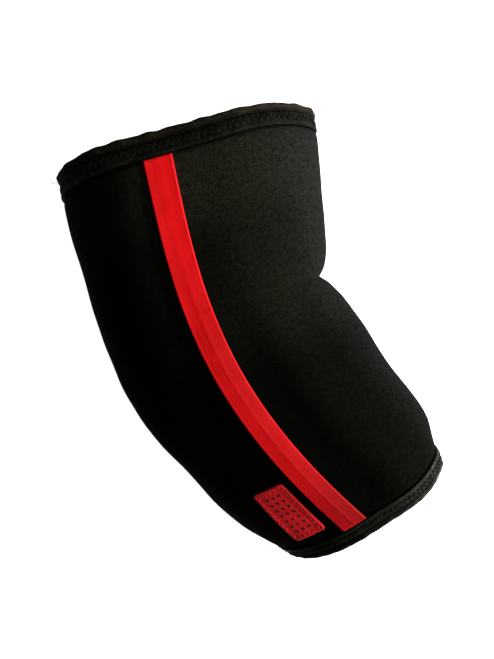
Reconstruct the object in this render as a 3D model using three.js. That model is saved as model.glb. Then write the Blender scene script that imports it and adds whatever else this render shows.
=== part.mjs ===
// Elbow brace: a pull-on neoprene sleeve, empty, lying on its side and bent at the elbow.
// Millimetres, +Z up. It rests on z = 0 with its bend lying flat. +Y points out of the upper-arm
// opening, the crook of the elbow is on the +X side and the side seam with its stripe is on top.
import * as THREE from 'three';

// Driving dimensions
const sleeveLength = 205; // from rim to rim, along the side seam
const upperWidth = 131.5; // across the upper-arm rim as it lies
const lowerWidth = 88; // across the forearm rim as it lies
const upperHeight = 63; // of the upper-arm rim above the surface it lies on
const lowerHeight = 65; // of the forearm rim
const wall = 5; // padded neoprene
const pinchedWall = wall / 2; // where a binding grips it
const clearance = 0.3; // between pieces that touch

const bendDegrees = 37; // how much the side seam turns from rim to rim
const upperSlantDegrees = 2.7; // of the upper-arm rim from square to +Y
const lowerSlantDegrees = 20.5; // of the forearm rim

const creaseDeep = 9; // the fold in the crook
const creaseLong = 9; // how far from the fold its sides swell back
const ridgeHigh = 2.2; // where the panels rise to the side seam
const ridgeWide = 13; // from the seam to the foot of the ridge

const stripeUpperWidth = 13.2;
const stripeLowerWidth = 11.4;
const stripeThick = 0.8;

const bindingCloth = 1.2;
const upperBindingTall = 11.5;
const lowerBindingTall = 7.5;
const lipProud = 1; // the rolled edge of a binding, past the panels' face
const hemProud = 0.3; // the flat hem below the lip
const beadProud = 0.9; // the raised edge at the foot of the hem
const grooveDeep = 0.3; // under the lip, into the panels' face

const patchLong = 27;
const patchWide = 15;
const patchThick = 0.8;
const patchFromStripe = 4.3;
const patchFromBinding = 5;

// Where things lie, as shares of the sleeve's length from the upper-arm rim
const bendStartShare = 0.1;
const bendEndShare = 1.03;
const creaseShare = 0.43;

// The sleeve's sections. at is a share of the length. elbowReach and crookReach run from the side
// seam to either edge, as shares of the width of a straight taper there, and height is a share of
// the taper's height. topFlat and underFlat are the shares of each reach that lie level above and
// below, and ridge is a share of ridgeHigh.
const sections = [
  { at: 0.0, elbowReach: 0.395, crookReach: 0.582, height: 1.0, topFlat: 0.28, underFlat: 0.46, ridge: 0.0 },
  { at: 0.1, elbowReach: 0.414, crookReach: 0.597, height: 0.99, topFlat: 0.33, underFlat: 0.44, ridge: 0.0 },
  { at: 0.25, elbowReach: 0.43, crookReach: 0.6, height: 0.97, topFlat: 0.31, underFlat: 0.42, ridge: 0.1 },
  { at: 0.4, elbowReach: 0.439, crookReach: 0.615, height: 0.95, topFlat: 0.26, underFlat: 0.42, ridge: 0.5 },
  { at: 0.52, elbowReach: 0.473, crookReach: 0.63, height: 0.95, topFlat: 0.2, underFlat: 0.4, ridge: 0.9 },
  { at: 0.7, elbowReach: 0.453, crookReach: 0.665, height: 0.95, topFlat: 0.15, underFlat: 0.36, ridge: 1.0 },
  { at: 0.85, elbowReach: 0.472, crookReach: 0.666, height: 0.98, topFlat: 0.12, underFlat: 0.28, ridge: 0.9 },
  { at: 1.0, elbowReach: 0.41, crookReach: 0.568, height: 1.0, topFlat: 0.08, underFlat: 0.2, ridge: 0.3 },
];

// A binding's outer face from its foot to the rim. down is a share of the binding's height, and
// out is the distance out of the panels' face.
const bindingFace = [
  { down: 1.0, out: 0 },
  { down: 0.96, out: beadProud },
  { down: 0.87, out: beadProud },
  { down: 0.81, out: hemProud },
  { down: 0.42, out: hemProud },
  { down: 0.35, out: -grooveDeep },
  { down: 0.27, out: lipProud * 0.6 },
  { down: 0.16, out: lipProud },
  { down: 0.06, out: lipProud * 0.4 },
  { down: 0.0, out: -bindingCloth },
];

// How finely the pieces are divided
const upperSteps = 11;
const lowerSteps = 14;
const arcSteps = 8;
const spineSteps = 400;
const stepsCrowd = 1.35; // above 1 the sections crowd toward the crease

const toElbow = -1;
const toCrook = 1;
const underStripe = 3; // points of each side's outline that the stripe covers

// The value of one column of the sections at a share of the length, on a smooth curve
function column(name, at) {
  const last = sections.length - 2;
  const found = sections.findIndex((row) => row.at > at) - 1;
  const i = found < 0 ? last : found;
  const slope = (k) => (sections[k + 1][name] - sections[k][name]) / (sections[k + 1].at - sections[k].at);
  const ease = (k) => (k <= 0 ? slope(0) : k > last ? slope(last) : (slope(k - 1) + slope(k)) / 2);
  const span = sections[i + 1].at - sections[i].at;
  const t = (at - sections[i].at) / span;
  const from = (2 * t ** 3 - 3 * t ** 2 + 1) * sections[i][name];
  const to = (3 * t ** 2 - 2 * t ** 3) * sections[i + 1][name];
  const bends = (t ** 3 - 2 * t ** 2 + t) * ease(i) + (t ** 3 - t ** 2) * ease(i + 1);
  return from + to + bends * span;
}

// The side seam seen from above: it starts at the upper-arm rim, heading for -Y, and turns to +X
const spine = [new THREE.Vector2(0, 0)];
for (let k = 0; k < spineSteps; k += 1) {
  const at = (k + 0.5) / spineSteps;
  const turned = THREE.MathUtils.smoothstep(at, bendStartShare, bendEndShare);
  const turn = THREE.MathUtils.degToRad(bendDegrees) * turned;
  const step = new THREE.Vector2(Math.sin(turn), -Math.cos(turn)).multiplyScalar(sleeveLength / spineSteps);
  spine.push(spine[k].clone().add(step));
}

function seamPlace(at) {
  const k = Math.min(Math.floor(at * spineSteps), spineSteps - 1);
  return spine[k].clone().lerp(spine[k + 1], at * spineSteps - k);
}

// The direction across the sleeve, toward the crook
function across(at) {
  const slant = THREE.MathUtils.degToRad(THREE.MathUtils.lerp(upperSlantDegrees, lowerSlantDegrees, at));
  return new THREE.Vector2(Math.cos(slant), Math.sin(slant));
}

// One side of the section at a share of the length
function sideOf(at, side) {
  const taper = THREE.MathUtils.lerp(upperWidth, lowerWidth, at);
  const fold = creaseDeep * Math.exp((-Math.abs(at - creaseShare) * sleeveLength) / creaseLong);
  const reach = side === toElbow
    ? taper * column('elbowReach', at)
    : taper * column('crookReach', at) - fold;
  const height = THREE.MathUtils.lerp(upperHeight, lowerHeight, at) * column('height', at);
  return {
    reach,
    middle: height / 2,
    topFlat: reach * column('topFlat', at),
    underFlat: reach * column('underFlat', at),
    ridge: ridgeHigh * column('ridge', at),
  };
}

function stripeWidth(at) {
  return THREE.MathUtils.lerp(stripeUpperWidth, stripeLowerWidth, at);
}

// The height of the upper face at a distance from the side seam
function topHeight(shape, distance) {
  const along = THREE.MathUtils.clamp((distance - shape.topFlat) / (shape.reach - shape.topFlat), 0, 1);
  const ridge = shape.ridge * Math.max(0, 1 - distance / ridgeWide) ** 2;
  return shape.middle * (1 + Math.sqrt(1 - along ** 2)) + ridge;
}

// The outline of one side, from the side seam on top, round the edge, to the seam underneath: how
// far each point lies from the seams, its height, and the direction that faces out there
function halfOutline(at, side, fromSeam) {
  const shape = sideOf(at, side);
  const half = stripeWidth(at) / 2;
  const points = [fromSeam, half / 2, half].map((far) => ({ far, high: topHeight(shape, far) }));
  const roundFrom = Math.max(shape.topFlat, half * 1.3);
  const firstAngle = Math.asin((roundFrom - shape.topFlat) / (shape.reach - shape.topFlat));
  for (let k = 0; k <= arcSteps; k += 1) {
    const angle = THREE.MathUtils.lerp(firstAngle, Math.PI / 2, k / arcSteps);
    const far = shape.topFlat + (shape.reach - shape.topFlat) * Math.sin(angle);
    points.push({ far, high: topHeight(shape, far) });
  }
  for (let k = 1; k <= arcSteps; k += 1) {
    const angle = ((Math.PI / 2) * k) / arcSteps;
    points.push({
      far: shape.underFlat + (shape.reach - shape.underFlat) * Math.cos(angle),
      high: shape.middle * (1 - Math.sin(angle)),
    });
  }
  points.push({ far: shape.underFlat / 2, high: 0 }, { far: fromSeam, high: 0 });
  points.forEach((point, k) => {
    const before = points[Math.max(k - 1, 0)];
    const after = points[Math.min(k + 1, points.length - 1)];
    const facing = new THREE.Vector2(before.high - after.high, after.far - before.far).normalize();
    const onSeam = point.far === fromSeam;
    point.outFar = onSeam ? 0 : facing.x;
    point.outHigh = onSeam ? Math.sign(facing.y) : facing.y;
  });
  return points;
}

// A point of the outline in space, moved out of its face by a distance, or in if that is negative
function place(at, side, point, out) {
  const far = side * (point.far + point.outFar * out);
  const spot = seamPlace(at).addScaledVector(across(at), far);
  return new THREE.Vector3(spot.x, spot.y, Math.max(point.high + point.outHigh * out, 0));
}

// A closed mesh from its corners and the four-cornered faces between them
function closedMesh(corners, quads) {
  let indices = quads.flatMap(([a, b, c, d]) => [a, b, c, a, c, d]);
  let volume = 0;
  for (let k = 0; k < indices.length; k += 3) {
    const [a, b, c] = indices.slice(k, k + 3).map((i) => corners[i]);
    volume += a.dot(b.clone().cross(c));
  }
  if (volume < 0) indices = indices.reverse();
  const geometry = new THREE.BufferGeometry().setFromPoints(corners);
  geometry.setIndex(indices);
  geometry.computeVertexNormals();
  return geometry;
}

// A sheet with thickness: rows of points on its outer face and on its inner one
function sheetBetween(outer, inner) {
  const rows = outer.length;
  const columns = outer[0].length;
  const corners = [...outer.flat(), ...inner.flat()];
  const top = (row, col) => row * columns + col;
  const under = (row, col) => (rows + row) * columns + col;
  const quads = [];
  for (let row = 0; row < rows - 1; row += 1) {
    for (let col = 0; col < columns - 1; col += 1) {
      quads.push([top(row, col), top(row + 1, col), top(row + 1, col + 1), top(row, col + 1)]);
      quads.push([under(row, col), under(row, col + 1), under(row + 1, col + 1), under(row + 1, col)]);
    }
    quads.push([top(row, 0), under(row, 0), under(row + 1, 0), top(row + 1, 0)]);
    const end = columns - 1;
    quads.push([top(row, end), top(row + 1, end), under(row + 1, end), under(row, end)]);
  }
  for (let col = 0; col < columns - 1; col += 1) {
    const end = rows - 1;
    quads.push([top(0, col), top(0, col + 1), under(0, col + 1), under(0, col)]);
    quads.push([top(end, col), under(end, col), under(end, col + 1), top(end, col + 1)]);
  }
  return closedMesh(corners, quads);
}

// A closed band: the same closed cross-section at each place of a closed round
function bandRound(profiles) {
  const count = profiles.length;
  const sides = profiles[0].length;
  const corner = (i, k) => (i % count) * sides + (k % sides);
  const quads = [];
  for (let i = 0; i < count; i += 1) {
    for (let k = 0; k < sides; k += 1) {
      quads.push([corner(i, k), corner(i + 1, k), corner(i + 1, k + 1), corner(i, k + 1)]);
    }
  }
  return closedMesh(profiles.flat(), quads);
}

// Shares of the length from one to another, crowding toward the crease between them
function sharesDownTo(from, to) {
  const shares = [from];
  for (let k = 1; k <= upperSteps; k += 1) {
    shares.push(creaseShare - (creaseShare - from) * (1 - k / upperSteps) ** stepsCrowd);
  }
  for (let k = 1; k <= lowerSteps; k += 1) {
    shares.push(creaseShare + (to - creaseShare) * (k / lowerSteps) ** stepsCrowd);
  }
  return shares;
}

// One neoprene panel: full thickness between the bindings, pinched inside them
function panel(side) {
  const gripped = { outer: -bindingCloth - clearance, inner: -bindingCloth - clearance - pinchedWall };
  const full = { outer: 0, inner: -wall };
  const upperEdge = upperBindingTall / sleeveLength;
  const lowerEdge = 1 - lowerBindingTall / sleeveLength;
  const underRim = (bindingCloth + clearance) / sleeveLength;
  const stations = [
    { at: underRim, ...gripped },
    { at: upperEdge / 2, ...gripped },
    { at: upperEdge, ...gripped },
    ...sharesDownTo(upperEdge, lowerEdge).map((at) => ({ at, ...full })),
    { at: lowerEdge, ...gripped },
    { at: (1 + lowerEdge) / 2, ...gripped },
    { at: 1 - underRim, ...gripped },
  ];
  const row = (face) => stations.map((station) => halfOutline(station.at, side, clearance / 2)
    .map((point) => place(station.at, side, point, station[face])));
  return sheetBetween(row('outer'), row('inner'));
}

// A binding: cloth wrapped over a rim, with a rolled lip, a groove and a flat hem outside
function binding(tall, shareAt) {
  const gripOut = -bindingCloth;
  const gripIn = gripOut - clearance - pinchedWall - clearance;
  const inFace = gripIn - bindingCloth;
  const foot = tall - clearance;
  const section = [
    { down: foot, out: gripOut },
    ...bindingFace.map(({ down, out }) => ({ down: down * foot, out })),
    { down: 0, out: gripIn },
    { down: bindingCloth / 2, out: inFace },
    { down: foot, out: inFace },
    { down: foot, out: gripIn },
    { down: bindingCloth, out: gripIn },
    { down: bindingCloth, out: gripOut },
  ];
  const profileAt = (side, k) => section.map(({ down, out }) => {
    const at = shareAt(down / sleeveLength);
    return place(at, side, halfOutline(at, side, 0)[k], out);
  });
  const last = halfOutline(0, toElbow, 0).length - 1;
  const profiles = [];
  for (let k = 0; k <= last; k += 1) profiles.push(profileAt(toElbow, k));
  for (let k = last - 1; k > 0; k -= 1) profiles.push(profileAt(toCrook, k));
  return bandRound(profiles);
}

// The point of the upper face at a walked distance from the side seam, toward the elbow
function walkedOut(at, distance) {
  const shape = sideOf(at, toElbow);
  const stride = 0.25;
  let far = 0;
  let walked = 0;
  while (walked < distance) {
    const rise = topHeight(shape, far + stride) - topHeight(shape, far);
    walked += Math.hypot(stride, rise);
    far += stride;
  }
  const rise = topHeight(shape, far + stride) - topHeight(shape, far - stride);
  const facing = new THREE.Vector2(-rise, 2 * stride).normalize();
  return { far, high: topHeight(shape, far), outFar: facing.x, outHigh: facing.y };
}

// The tape over the side seam, from binding to binding
function stripe() {
  const from = (upperBindingTall + clearance) / sleeveLength;
  const to = 1 - (lowerBindingTall + clearance) / sleeveLength;
  const straightUp = { outFar: 0, outHigh: 1 };
  const row = (out) => sharesDownTo(from, to).map((at) => {
    const onSide = (side) => halfOutline(at, side, 0).slice(0, underStripe)
      .map((point) => place(at, side, { ...point, ...straightUp }, out));
    return [...onSide(toElbow).reverse(), ...onSide(toCrook).slice(1)];
  });
  return sheetBetween(row(clearance + stripeThick), row(clearance));
}

// The plain patch on the elbow panel, near the forearm rim
function patch() {
  const stepsAlong = 8;
  const stepsAcross = 6;
  const row = (out) => Array.from({ length: stepsAlong + 1 }, (_, i) => {
    const fromRim = lowerBindingTall + patchFromBinding + (patchLong * i) / stepsAlong;
    const at = 1 - fromRim / sleeveLength;
    return Array.from({ length: stepsAcross + 1 }, (__, k) => {
      const fromSeam = stripeWidth(at) / 2 + patchFromStripe + (patchWide * k) / stepsAcross;
      return place(at, toElbow, walkedOut(at, fromSeam), out);
    });
  });
  return sheetBetween(row(clearance + patchThick), row(clearance));
}

const neoprene = { color: 0x0b0b0a, roughness: 0.95, metalness: 0 };
const bindingFabric = { color: 0x141310, roughness: 0.9, metalness: 0 };
const redTape = { color: 0xc8161b, roughness: 0.7, metalness: 0 };

function piece(name, geometry, finish) {
  const mesh = new THREE.Mesh(geometry, new THREE.MeshStandardMaterial(finish));
  mesh.name = name;
  return mesh;
}

const brace = new THREE.Group();
brace.add(
  piece('elbow_panel', panel(toElbow), neoprene),
  piece('crook_panel', panel(toCrook), neoprene),
  piece('side_stripe', stripe(), redTape),
  piece('upper_binding', binding(upperBindingTall, (depth) => depth), bindingFabric),
  piece('lower_binding', binding(lowerBindingTall, (depth) => 1 - depth), bindingFabric),
  piece('label_patch', patch(), redTape),
);

// The origin is under the middle of the whole sleeve, on the surface that it lies on
const middle = new THREE.Box3().setFromObject(brace).getCenter(new THREE.Vector3());
brace.children.forEach((mesh) => mesh.position.set(-middle.x, -middle.y, 0));

export default brace;
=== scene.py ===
import math

import bpy
import numpy as np
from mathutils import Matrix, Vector


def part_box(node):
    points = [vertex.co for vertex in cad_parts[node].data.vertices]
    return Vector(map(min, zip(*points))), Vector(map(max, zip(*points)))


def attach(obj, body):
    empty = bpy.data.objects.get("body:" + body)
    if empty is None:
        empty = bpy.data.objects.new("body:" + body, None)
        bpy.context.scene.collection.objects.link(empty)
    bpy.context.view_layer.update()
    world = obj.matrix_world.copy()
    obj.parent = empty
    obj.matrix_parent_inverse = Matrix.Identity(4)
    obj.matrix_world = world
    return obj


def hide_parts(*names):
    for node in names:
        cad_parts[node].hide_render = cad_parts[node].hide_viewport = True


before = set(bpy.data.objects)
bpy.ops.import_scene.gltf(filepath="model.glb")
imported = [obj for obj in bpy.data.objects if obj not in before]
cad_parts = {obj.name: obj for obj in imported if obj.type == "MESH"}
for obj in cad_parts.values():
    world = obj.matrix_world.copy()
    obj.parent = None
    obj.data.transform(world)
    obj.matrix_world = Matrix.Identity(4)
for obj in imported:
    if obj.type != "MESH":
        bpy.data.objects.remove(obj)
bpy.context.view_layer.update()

SCENE = bpy.context.scene

# A pull-on neoprene elbow sleeve, empty, lying on its side and bent at the elbow. Sizes are in
# millimetres, and a mesh is made in metres. Shares run from the upper-arm rim to the forearm rim.
MM = 0.001
ELBOW, CROOK = -1, 1
SEED = 11


def table(columns, *rows):
    """Rows of numbers, each number under its column's name."""
    return [dict(zip(columns.split(), row)) for row in rows]


# The sleeve's form, as cut and sewn
SLEEVE_LENGTH = 205
UPPER_WIDTH, LOWER_WIDTH = 131.5, 88
UPPER_HEIGHT, LOWER_HEIGHT = 63, 65
WALL = 5
CLEARANCE = 0.3
BINDING_CLOTH = 1.2
PINCHED_WALL = WALL / 2

BEND = math.radians(37)
BEND_STARTS, BEND_ENDS = 0.1, 1.03
UPPER_SLANT, LOWER_SLANT = math.radians(2.7), math.radians(20.5)

CREASE_AT, NOTCH_AT = 0.43, 0.42
CREASE_DEEP, CREASE_LONG = 9, 9
RIDGE_HIGH, RIDGE_WIDE, RIDGE_FALL = 2.2, 13, 1.5

# at is a share of the length. The reaches run from the side seam to either edge, as shares of the
# width of a straight taper, and height is a share of the taper's height. top_flat and under_flat
# are the shares of each reach that lie level, and ridge is a share of RIDGE_HIGH.
SECTIONS = table(
    "at elbow crook height top_flat under_flat ridge",
    (0.0, 0.395, 0.582, 1.0, 0.28, 0.46, 0.0),
    (0.1, 0.414, 0.597, 0.99, 0.33, 0.44, 0.0),
    (0.25, 0.43, 0.6, 0.97, 0.31, 0.42, 0.1),
    (0.4, 0.439, 0.615, 0.95, 0.26, 0.42, 0.5),
    (0.52, 0.473, 0.63, 0.95, 0.2, 0.4, 0.9),
    (0.7, 0.453, 0.665, 0.95, 0.15, 0.36, 1.0),
    (0.85, 0.472, 0.666, 0.98, 0.12, 0.28, 0.9),
    (1.0, 0.41, 0.568, 1.0, 0.08, 0.2, 0.3),
)
LEVEL_POINTS, OVER_POINTS, UNDER_POINTS, RETURN_POINTS = 40, 70, 60, 30

# Broad swells and dips of the two edges as the sleeve lies, at shares of its length
SWELLS = table(
    "side at out wide",
    (ELBOW, 0.23, -0.9, 0.07), (ELBOW, 0.4, 1.4, 0.07),
    (ELBOW, 0.53, -0.6, 0.05), (ELBOW, 0.65, 1.3, 0.07),
    (ELBOW, 0.91, 0.7, 0.05), (CROOK, 0.46, -0.9, 0.025),
    (CROOK, 0.62, 0.8, 0.08), (CROOK, 0.88, 1.5, 0.06),
)

# How far the cloth at a rim is pushed along the sleeve, on its elbow and its crook side
ELBOW_LOWER_PUSH, CROOK_LOWER_PUSH, CROOK_UPPER_PUSH = -0.7, 1.8, -1.5

# Wrinkles that run inward over the sleeve from the crease in the crook: start is how far along the
# sleeve from the crease one begins, lean how far it runs along for each millimetre inward
WRINKLES = table(
    "start lean deep wide long",
    (0, -0.1, 1.1, 3.4, 11), (-11, -0.35, 0.3, 6, 26),
    (12, 0.5, 0.3, 6.5, 22), (-22, -0.1, 0.2, 7, 30),
)

# The valley and the rise beside the tape on the forearm, walked from the side seam
FOREARM_FOLDS = table("walk out wide", (15, -0.9, 6), (29, 0.9, 9))
BROAD_WAVE, BROAD_WAVE_LONG = 0.28, 42
FINE_WAVE, FINE_WAVE_LONG = 0.1, 17
SEAM_GROOVE_DEEP, SEAM_GROOVE_WIDE = 0.5, 1.3
FREED_LONG, FREED_ROWS = 3.2, 7
PANEL_STEP = 1.15

SETTLE_ROWS, SETTLE_COLUMNS, SETTLE_FRAMES = 54, 45, 18
SETTLE_WEIGHT, SETTLE_CAP = 0.05, 1.2
SETTLE_STRETCH, SETTLE_BEND, SETTLE_QUALITY = 400, 60, 6

STRIPE_UPPER_WIDTH, STRIPE_LOWER_WIDTH = 13.2, 11.4
STRIPE_THICK, STRIPE_EDGE = 0.8, 0.25
STRIPE_ROWS, STRIPE_COLUMNS = 260, 41
STRIPE_RIDGE, STRIPE_BEAD, STRIPE_LIFT, STRIPE_WAVE = 0.14, 0.04, 0.28, 0.06

PATCH_LONG, PATCH_WIDE, PATCH_THICK, PATCH_EDGE = 27, 15, 0.8, 0.15
PATCH_FROM_STRIPE, PATCH_FROM_BINDING = 4.3, 5
PATCH_CORNER, PATCH_BORDER = 1.8, 0.28
PATCH_ROWS, PATCH_COLUMNS = 91, 51
DOT_SPACING, DOT_RADIUS, DOT_HIGH = 3.0, 0.75, 0.3
DOTS_HALF_WIDE, DOTS_HALF_LONG = 4.6, 10.6

UPPER_BINDING_TALL, LOWER_BINDING_TALL = 11.5, 7.5
# A binding's outer face from its foot to the rim, as shares of its height and millimetres outward
BINDING_FACE = table(
    "down out",
    (1.0, -0.6), (0.985, 0.2), (0.94, 0.6), (0.86, 0.65), (0.78, 0.3), (0.6, 0.4), (0.44, 0.2),
    (0.37, -0.6), (0.31, 0.35), (0.23, 1.05), (0.14, 1.15), (0.06, 0.6), (0.01, -0.3), (0.0, -1.2),
)
FACE_POINTS, INSIDE_POINTS = 34, 18
RIM_ROWS, RIM_STEP = 24, 0.7
ZIGZAG_FROM, ZIGZAG_TO, GROOVE_AT, LIP_AT = 0.48, 0.76, 0.36, 0.14
UPPER_ZIGZAG, LOWER_ZIGZAG = 2.9, 2.5
UPPER_STAND, LOWER_STAND = 1, 0.6
THREAD, PATCH_THREAD, STRAY_THREAD = 0.16, 0.17, 0.09


# The form of the sleeve

def eased(t, first, second, leaving, arriving):
    """The place at t, from 0 to 1, on a smooth curve between two values, by its slope at each."""
    held = (2 * t**3 - 3 * t**2 + 1) * first + (3 * t**2 - 2 * t**3) * second
    return held + (t**3 - 2 * t**2 + t) * leaving + (t**3 - t**2) * arriving


def column(name, at):
    """One column of the sections at shares of the length, on a smooth curve."""
    knots = np.array([row["at"] for row in SECTIONS])
    values = np.array([row[name] for row in SECTIONS])
    slopes = np.diff(values) / np.diff(knots)
    ease = np.concatenate([slopes[:1], (slopes[:-1] + slopes[1:]) / 2, slopes[-1:]])
    i = np.clip(np.searchsorted(knots, at, side="right") - 1, 0, len(knots) - 2)
    span = knots[i + 1] - knots[i]
    return eased((at - knots[i]) / span, values[i], values[i + 1], ease[i] * span, ease[i + 1] * span)


def smooth(low, high, x):
    """0 at low and 1 at high, with a soft start and end."""
    t = np.clip((x - low) / (high - low), 0, 1)
    return t * t * (3 - 2 * t)


def hump(x, middle, wide):
    """1 at the middle, falling softly to 0 on both sides."""
    return np.exp(-(((x - middle) / wide) ** 2))


def side_seam(steps=400):
    """The side seam seen from above: it heads for -Y and turns to +X."""
    turn = BEND * smooth(BEND_STARTS, BEND_ENDS, (np.arange(steps) + 0.5) / steps)
    strides = np.stack([np.sin(turn), -np.cos(turn)], 1) * SLEEVE_LENGTH / steps
    return np.concatenate([np.zeros((1, 2)), np.cumsum(strides, 0)])


SEAM = side_seam()


def seam_place(at):
    shares = np.linspace(0, 1, len(SEAM))
    return np.array([np.interp(at, shares, SEAM[:, 0]), np.interp(at, shares, SEAM[:, 1])])


def across(at):
    """The direction across the sleeve, toward the crook."""
    slant = UPPER_SLANT + (LOWER_SLANT - UPPER_SLANT) * at
    return np.array([math.cos(slant), math.sin(slant)])


def outline(at, side):
    """One side of a section, from the side seam on top, round the edge, to the seam underneath."""
    taper = UPPER_WIDTH + (LOWER_WIDTH - UPPER_WIDTH) * at
    reach = taper * column("elbow" if side == ELBOW else "crook", at)
    if side == CROOK:
        reach -= CREASE_DEEP * math.exp(-abs(at - NOTCH_AT) * SLEEVE_LENGTH / CREASE_LONG)
    reach += sum(row["out"] * hump(at, row["at"], row["wide"]) for row in SWELLS if row["side"] == side)
    middle = (UPPER_HEIGHT + (LOWER_HEIGHT - UPPER_HEIGHT) * at) * column("height", at) / 2
    top_flat, under_flat = reach * column("top_flat", at), reach * column("under_flat", at)
    over, under = np.linspace(0, math.pi / 2, OVER_POINTS), np.linspace(0, math.pi / 2, UNDER_POINTS)[1:]
    level = np.linspace(0, top_flat, LEVEL_POINTS)[:-1]
    back = np.linspace(under_flat, 0, RETURN_POINTS)[1:]
    far = np.concatenate([level, top_flat + (reach - top_flat) * np.sin(over),
                          under_flat + (reach - under_flat) * np.cos(under), back])
    high = np.concatenate([np.full(len(level), 2 * middle), middle * (1 + np.cos(over)),
                           middle * (1 - np.sin(under)), np.zeros(len(back))])
    upper = len(level) + len(over)
    high[:upper] += RIDGE_HIGH * column("ridge", at) * hump(far[:upper], 0, RIDGE_WIDE / RIDGE_FALL)
    walked = np.concatenate([[0], np.cumsum(np.hypot(np.diff(far), np.diff(high)))])
    out_far, out_high = -np.gradient(high), np.gradient(far)
    size = np.hypot(out_far, out_high)
    out_far, out_high = out_far / size, out_high / size
    out_far[0] = out_far[-1] = 0
    return {"far": far, "high": high, "walked": walked, "out_far": out_far, "out_high": out_high,
            "edge": walked[np.argmax(far)]}


def rim_push(at, side, share):
    """How far the cloth near a rim lies further along the sleeve than the plain form."""
    upper, lower = smooth(0.2, 0, at), smooth(0.8, 1, at)
    if side == ELBOW:
        return ELBOW_LOWER_PUSH * lower * smooth(0.4, 1, share)
    return (CROOK_LOWER_PUSH * lower * hump(share, 0.6, 0.3)
            + CROOK_UPPER_PUSH * upper * hump(share, 0.66, 0.28))


def on_side(at, side, walks):
    """Points of one side at walked distances from the top seam, and the way out of the face."""
    curve = outline(at, side)
    far, high, out_far, out_high = (np.interp(walks, curve["walked"], curve[name])
                                    for name in ("far", "high", "out_far", "out_high"))
    flat = seam_place(at)[None] + (side * far)[:, None] * across(at)[None]
    onward = BEND * smooth(BEND_STARTS, BEND_ENDS, at)
    push = rim_push(at, side, far / curve["far"].max())
    flat += push[:, None] * [math.sin(onward), -math.cos(onward)]
    way = (side * out_far)[:, None] * across(at)[None]
    return np.column_stack([flat, high]), np.column_stack([way, out_high]), curve["edge"]


def whole_walk(at, side):
    """The way round one side of a section, from seam to seam."""
    return outline(at, side)["walked"][-1]


def stripe_width(at):
    return STRIPE_UPPER_WIDTH + (STRIPE_LOWER_WIDTH - STRIPE_UPPER_WIDTH) * at


def origin_shift():
    """From the upper end of the side seam to the part's origin, by the stripe's upper corners."""
    low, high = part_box("side_stripe")
    start = (UPPER_BINDING_TALL + CLEARANCE) / SLEEVE_LENGTH
    half = stripe_width(start) / 2
    left, right = (seam_place(start) + side * half * across(start) for side in (ELBOW, CROOK))
    return np.array([low.x / MM - left[0], high.y / MM - right[1], 0])


SHIFT = origin_shift()


# How the cloth lies

def soft_waves(across_mm, along_mm, seed, size, count=9):
    """A smooth field between about -1 and 1 whose waves are about size long."""
    draw = np.random.default_rng(seed)
    total = np.zeros(np.broadcast(across_mm, along_mm).shape)
    for _ in range(count):
        heading, phase = draw.uniform(0, 2 * math.pi, 2)
        pace = 2 * math.pi / (size * draw.uniform(0.7, 1.5))
        total += np.sin(pace * (across_mm * math.cos(heading) + along_mm * math.sin(heading)) + phase)
    return total / math.sqrt(count / 2) / 1.6


def relief(side, walks, along, edge):
    """How far the cloth stands out of the plain form, in millimetres."""
    out = give(side, walks, along) + BROAD_WAVE * soft_waves(walks, along, SEED + side, BROAD_WAVE_LONG)
    out += FINE_WAVE * soft_waves(walks, along, SEED + 5 + side, FINE_WAVE_LONG)
    out -= SEAM_GROOVE_DEEP * np.exp(-walks / SEAM_GROOVE_WIDE)
    if side == CROOK:
        from_crease = along - CREASE_AT * SLEEVE_LENGTH
        inward = np.abs(edge - walks)
        for fold in WRINKLES:
            off = from_crease - fold["start"] - fold["lean"] * inward
            out -= fold["deep"] * np.exp(-((off / fold["wide"]) ** 2) - inward / fold["long"])
        forearm = smooth(0.3, 0.6, along / SLEEVE_LENGTH)
        for fold in FOREARM_FOLDS:
            out += fold["out"] * forearm * hump(walks, fold["walk"], fold["wide"])
    return out


def give(side, walks, along):
    """How far a panel gave in its simulation at places of its face."""
    rows, shares, moved = SETTLED[side]
    row = np.interp(along, rows, np.arange(len(rows)))
    place = np.interp(walks / whole_walk(along / SLEEVE_LENGTH, side), shares, np.arange(len(shares)))
    i = min(int(row), len(rows) - 2)
    j = np.minimum(place.astype(int), len(shares) - 2)
    down, right = row - i, place - j
    return ((moved[i, j] * (1 - right) + moved[i, j + 1] * right) * (1 - down)
            + (moved[i + 1, j] * (1 - right) + moved[i + 1, j + 1] * right) * down)


def softened(grid, times):
    """A grid on finer steps, with no corners between them."""
    even = np.full(times, 1 / times)
    for axis in (0, 1):
        count = grid.shape[axis]
        fine = np.linspace(0, count - 1, (count - 1) * times + 1)
        grid = np.apply_along_axis(lambda line: np.interp(fine, np.arange(count), line), axis, grid)
        for _ in range(3):
            grid = np.apply_along_axis(
                lambda line: np.convolve(np.pad(line, times // 2, "edge"), even, "valid"), axis, grid)
    return grid


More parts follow.
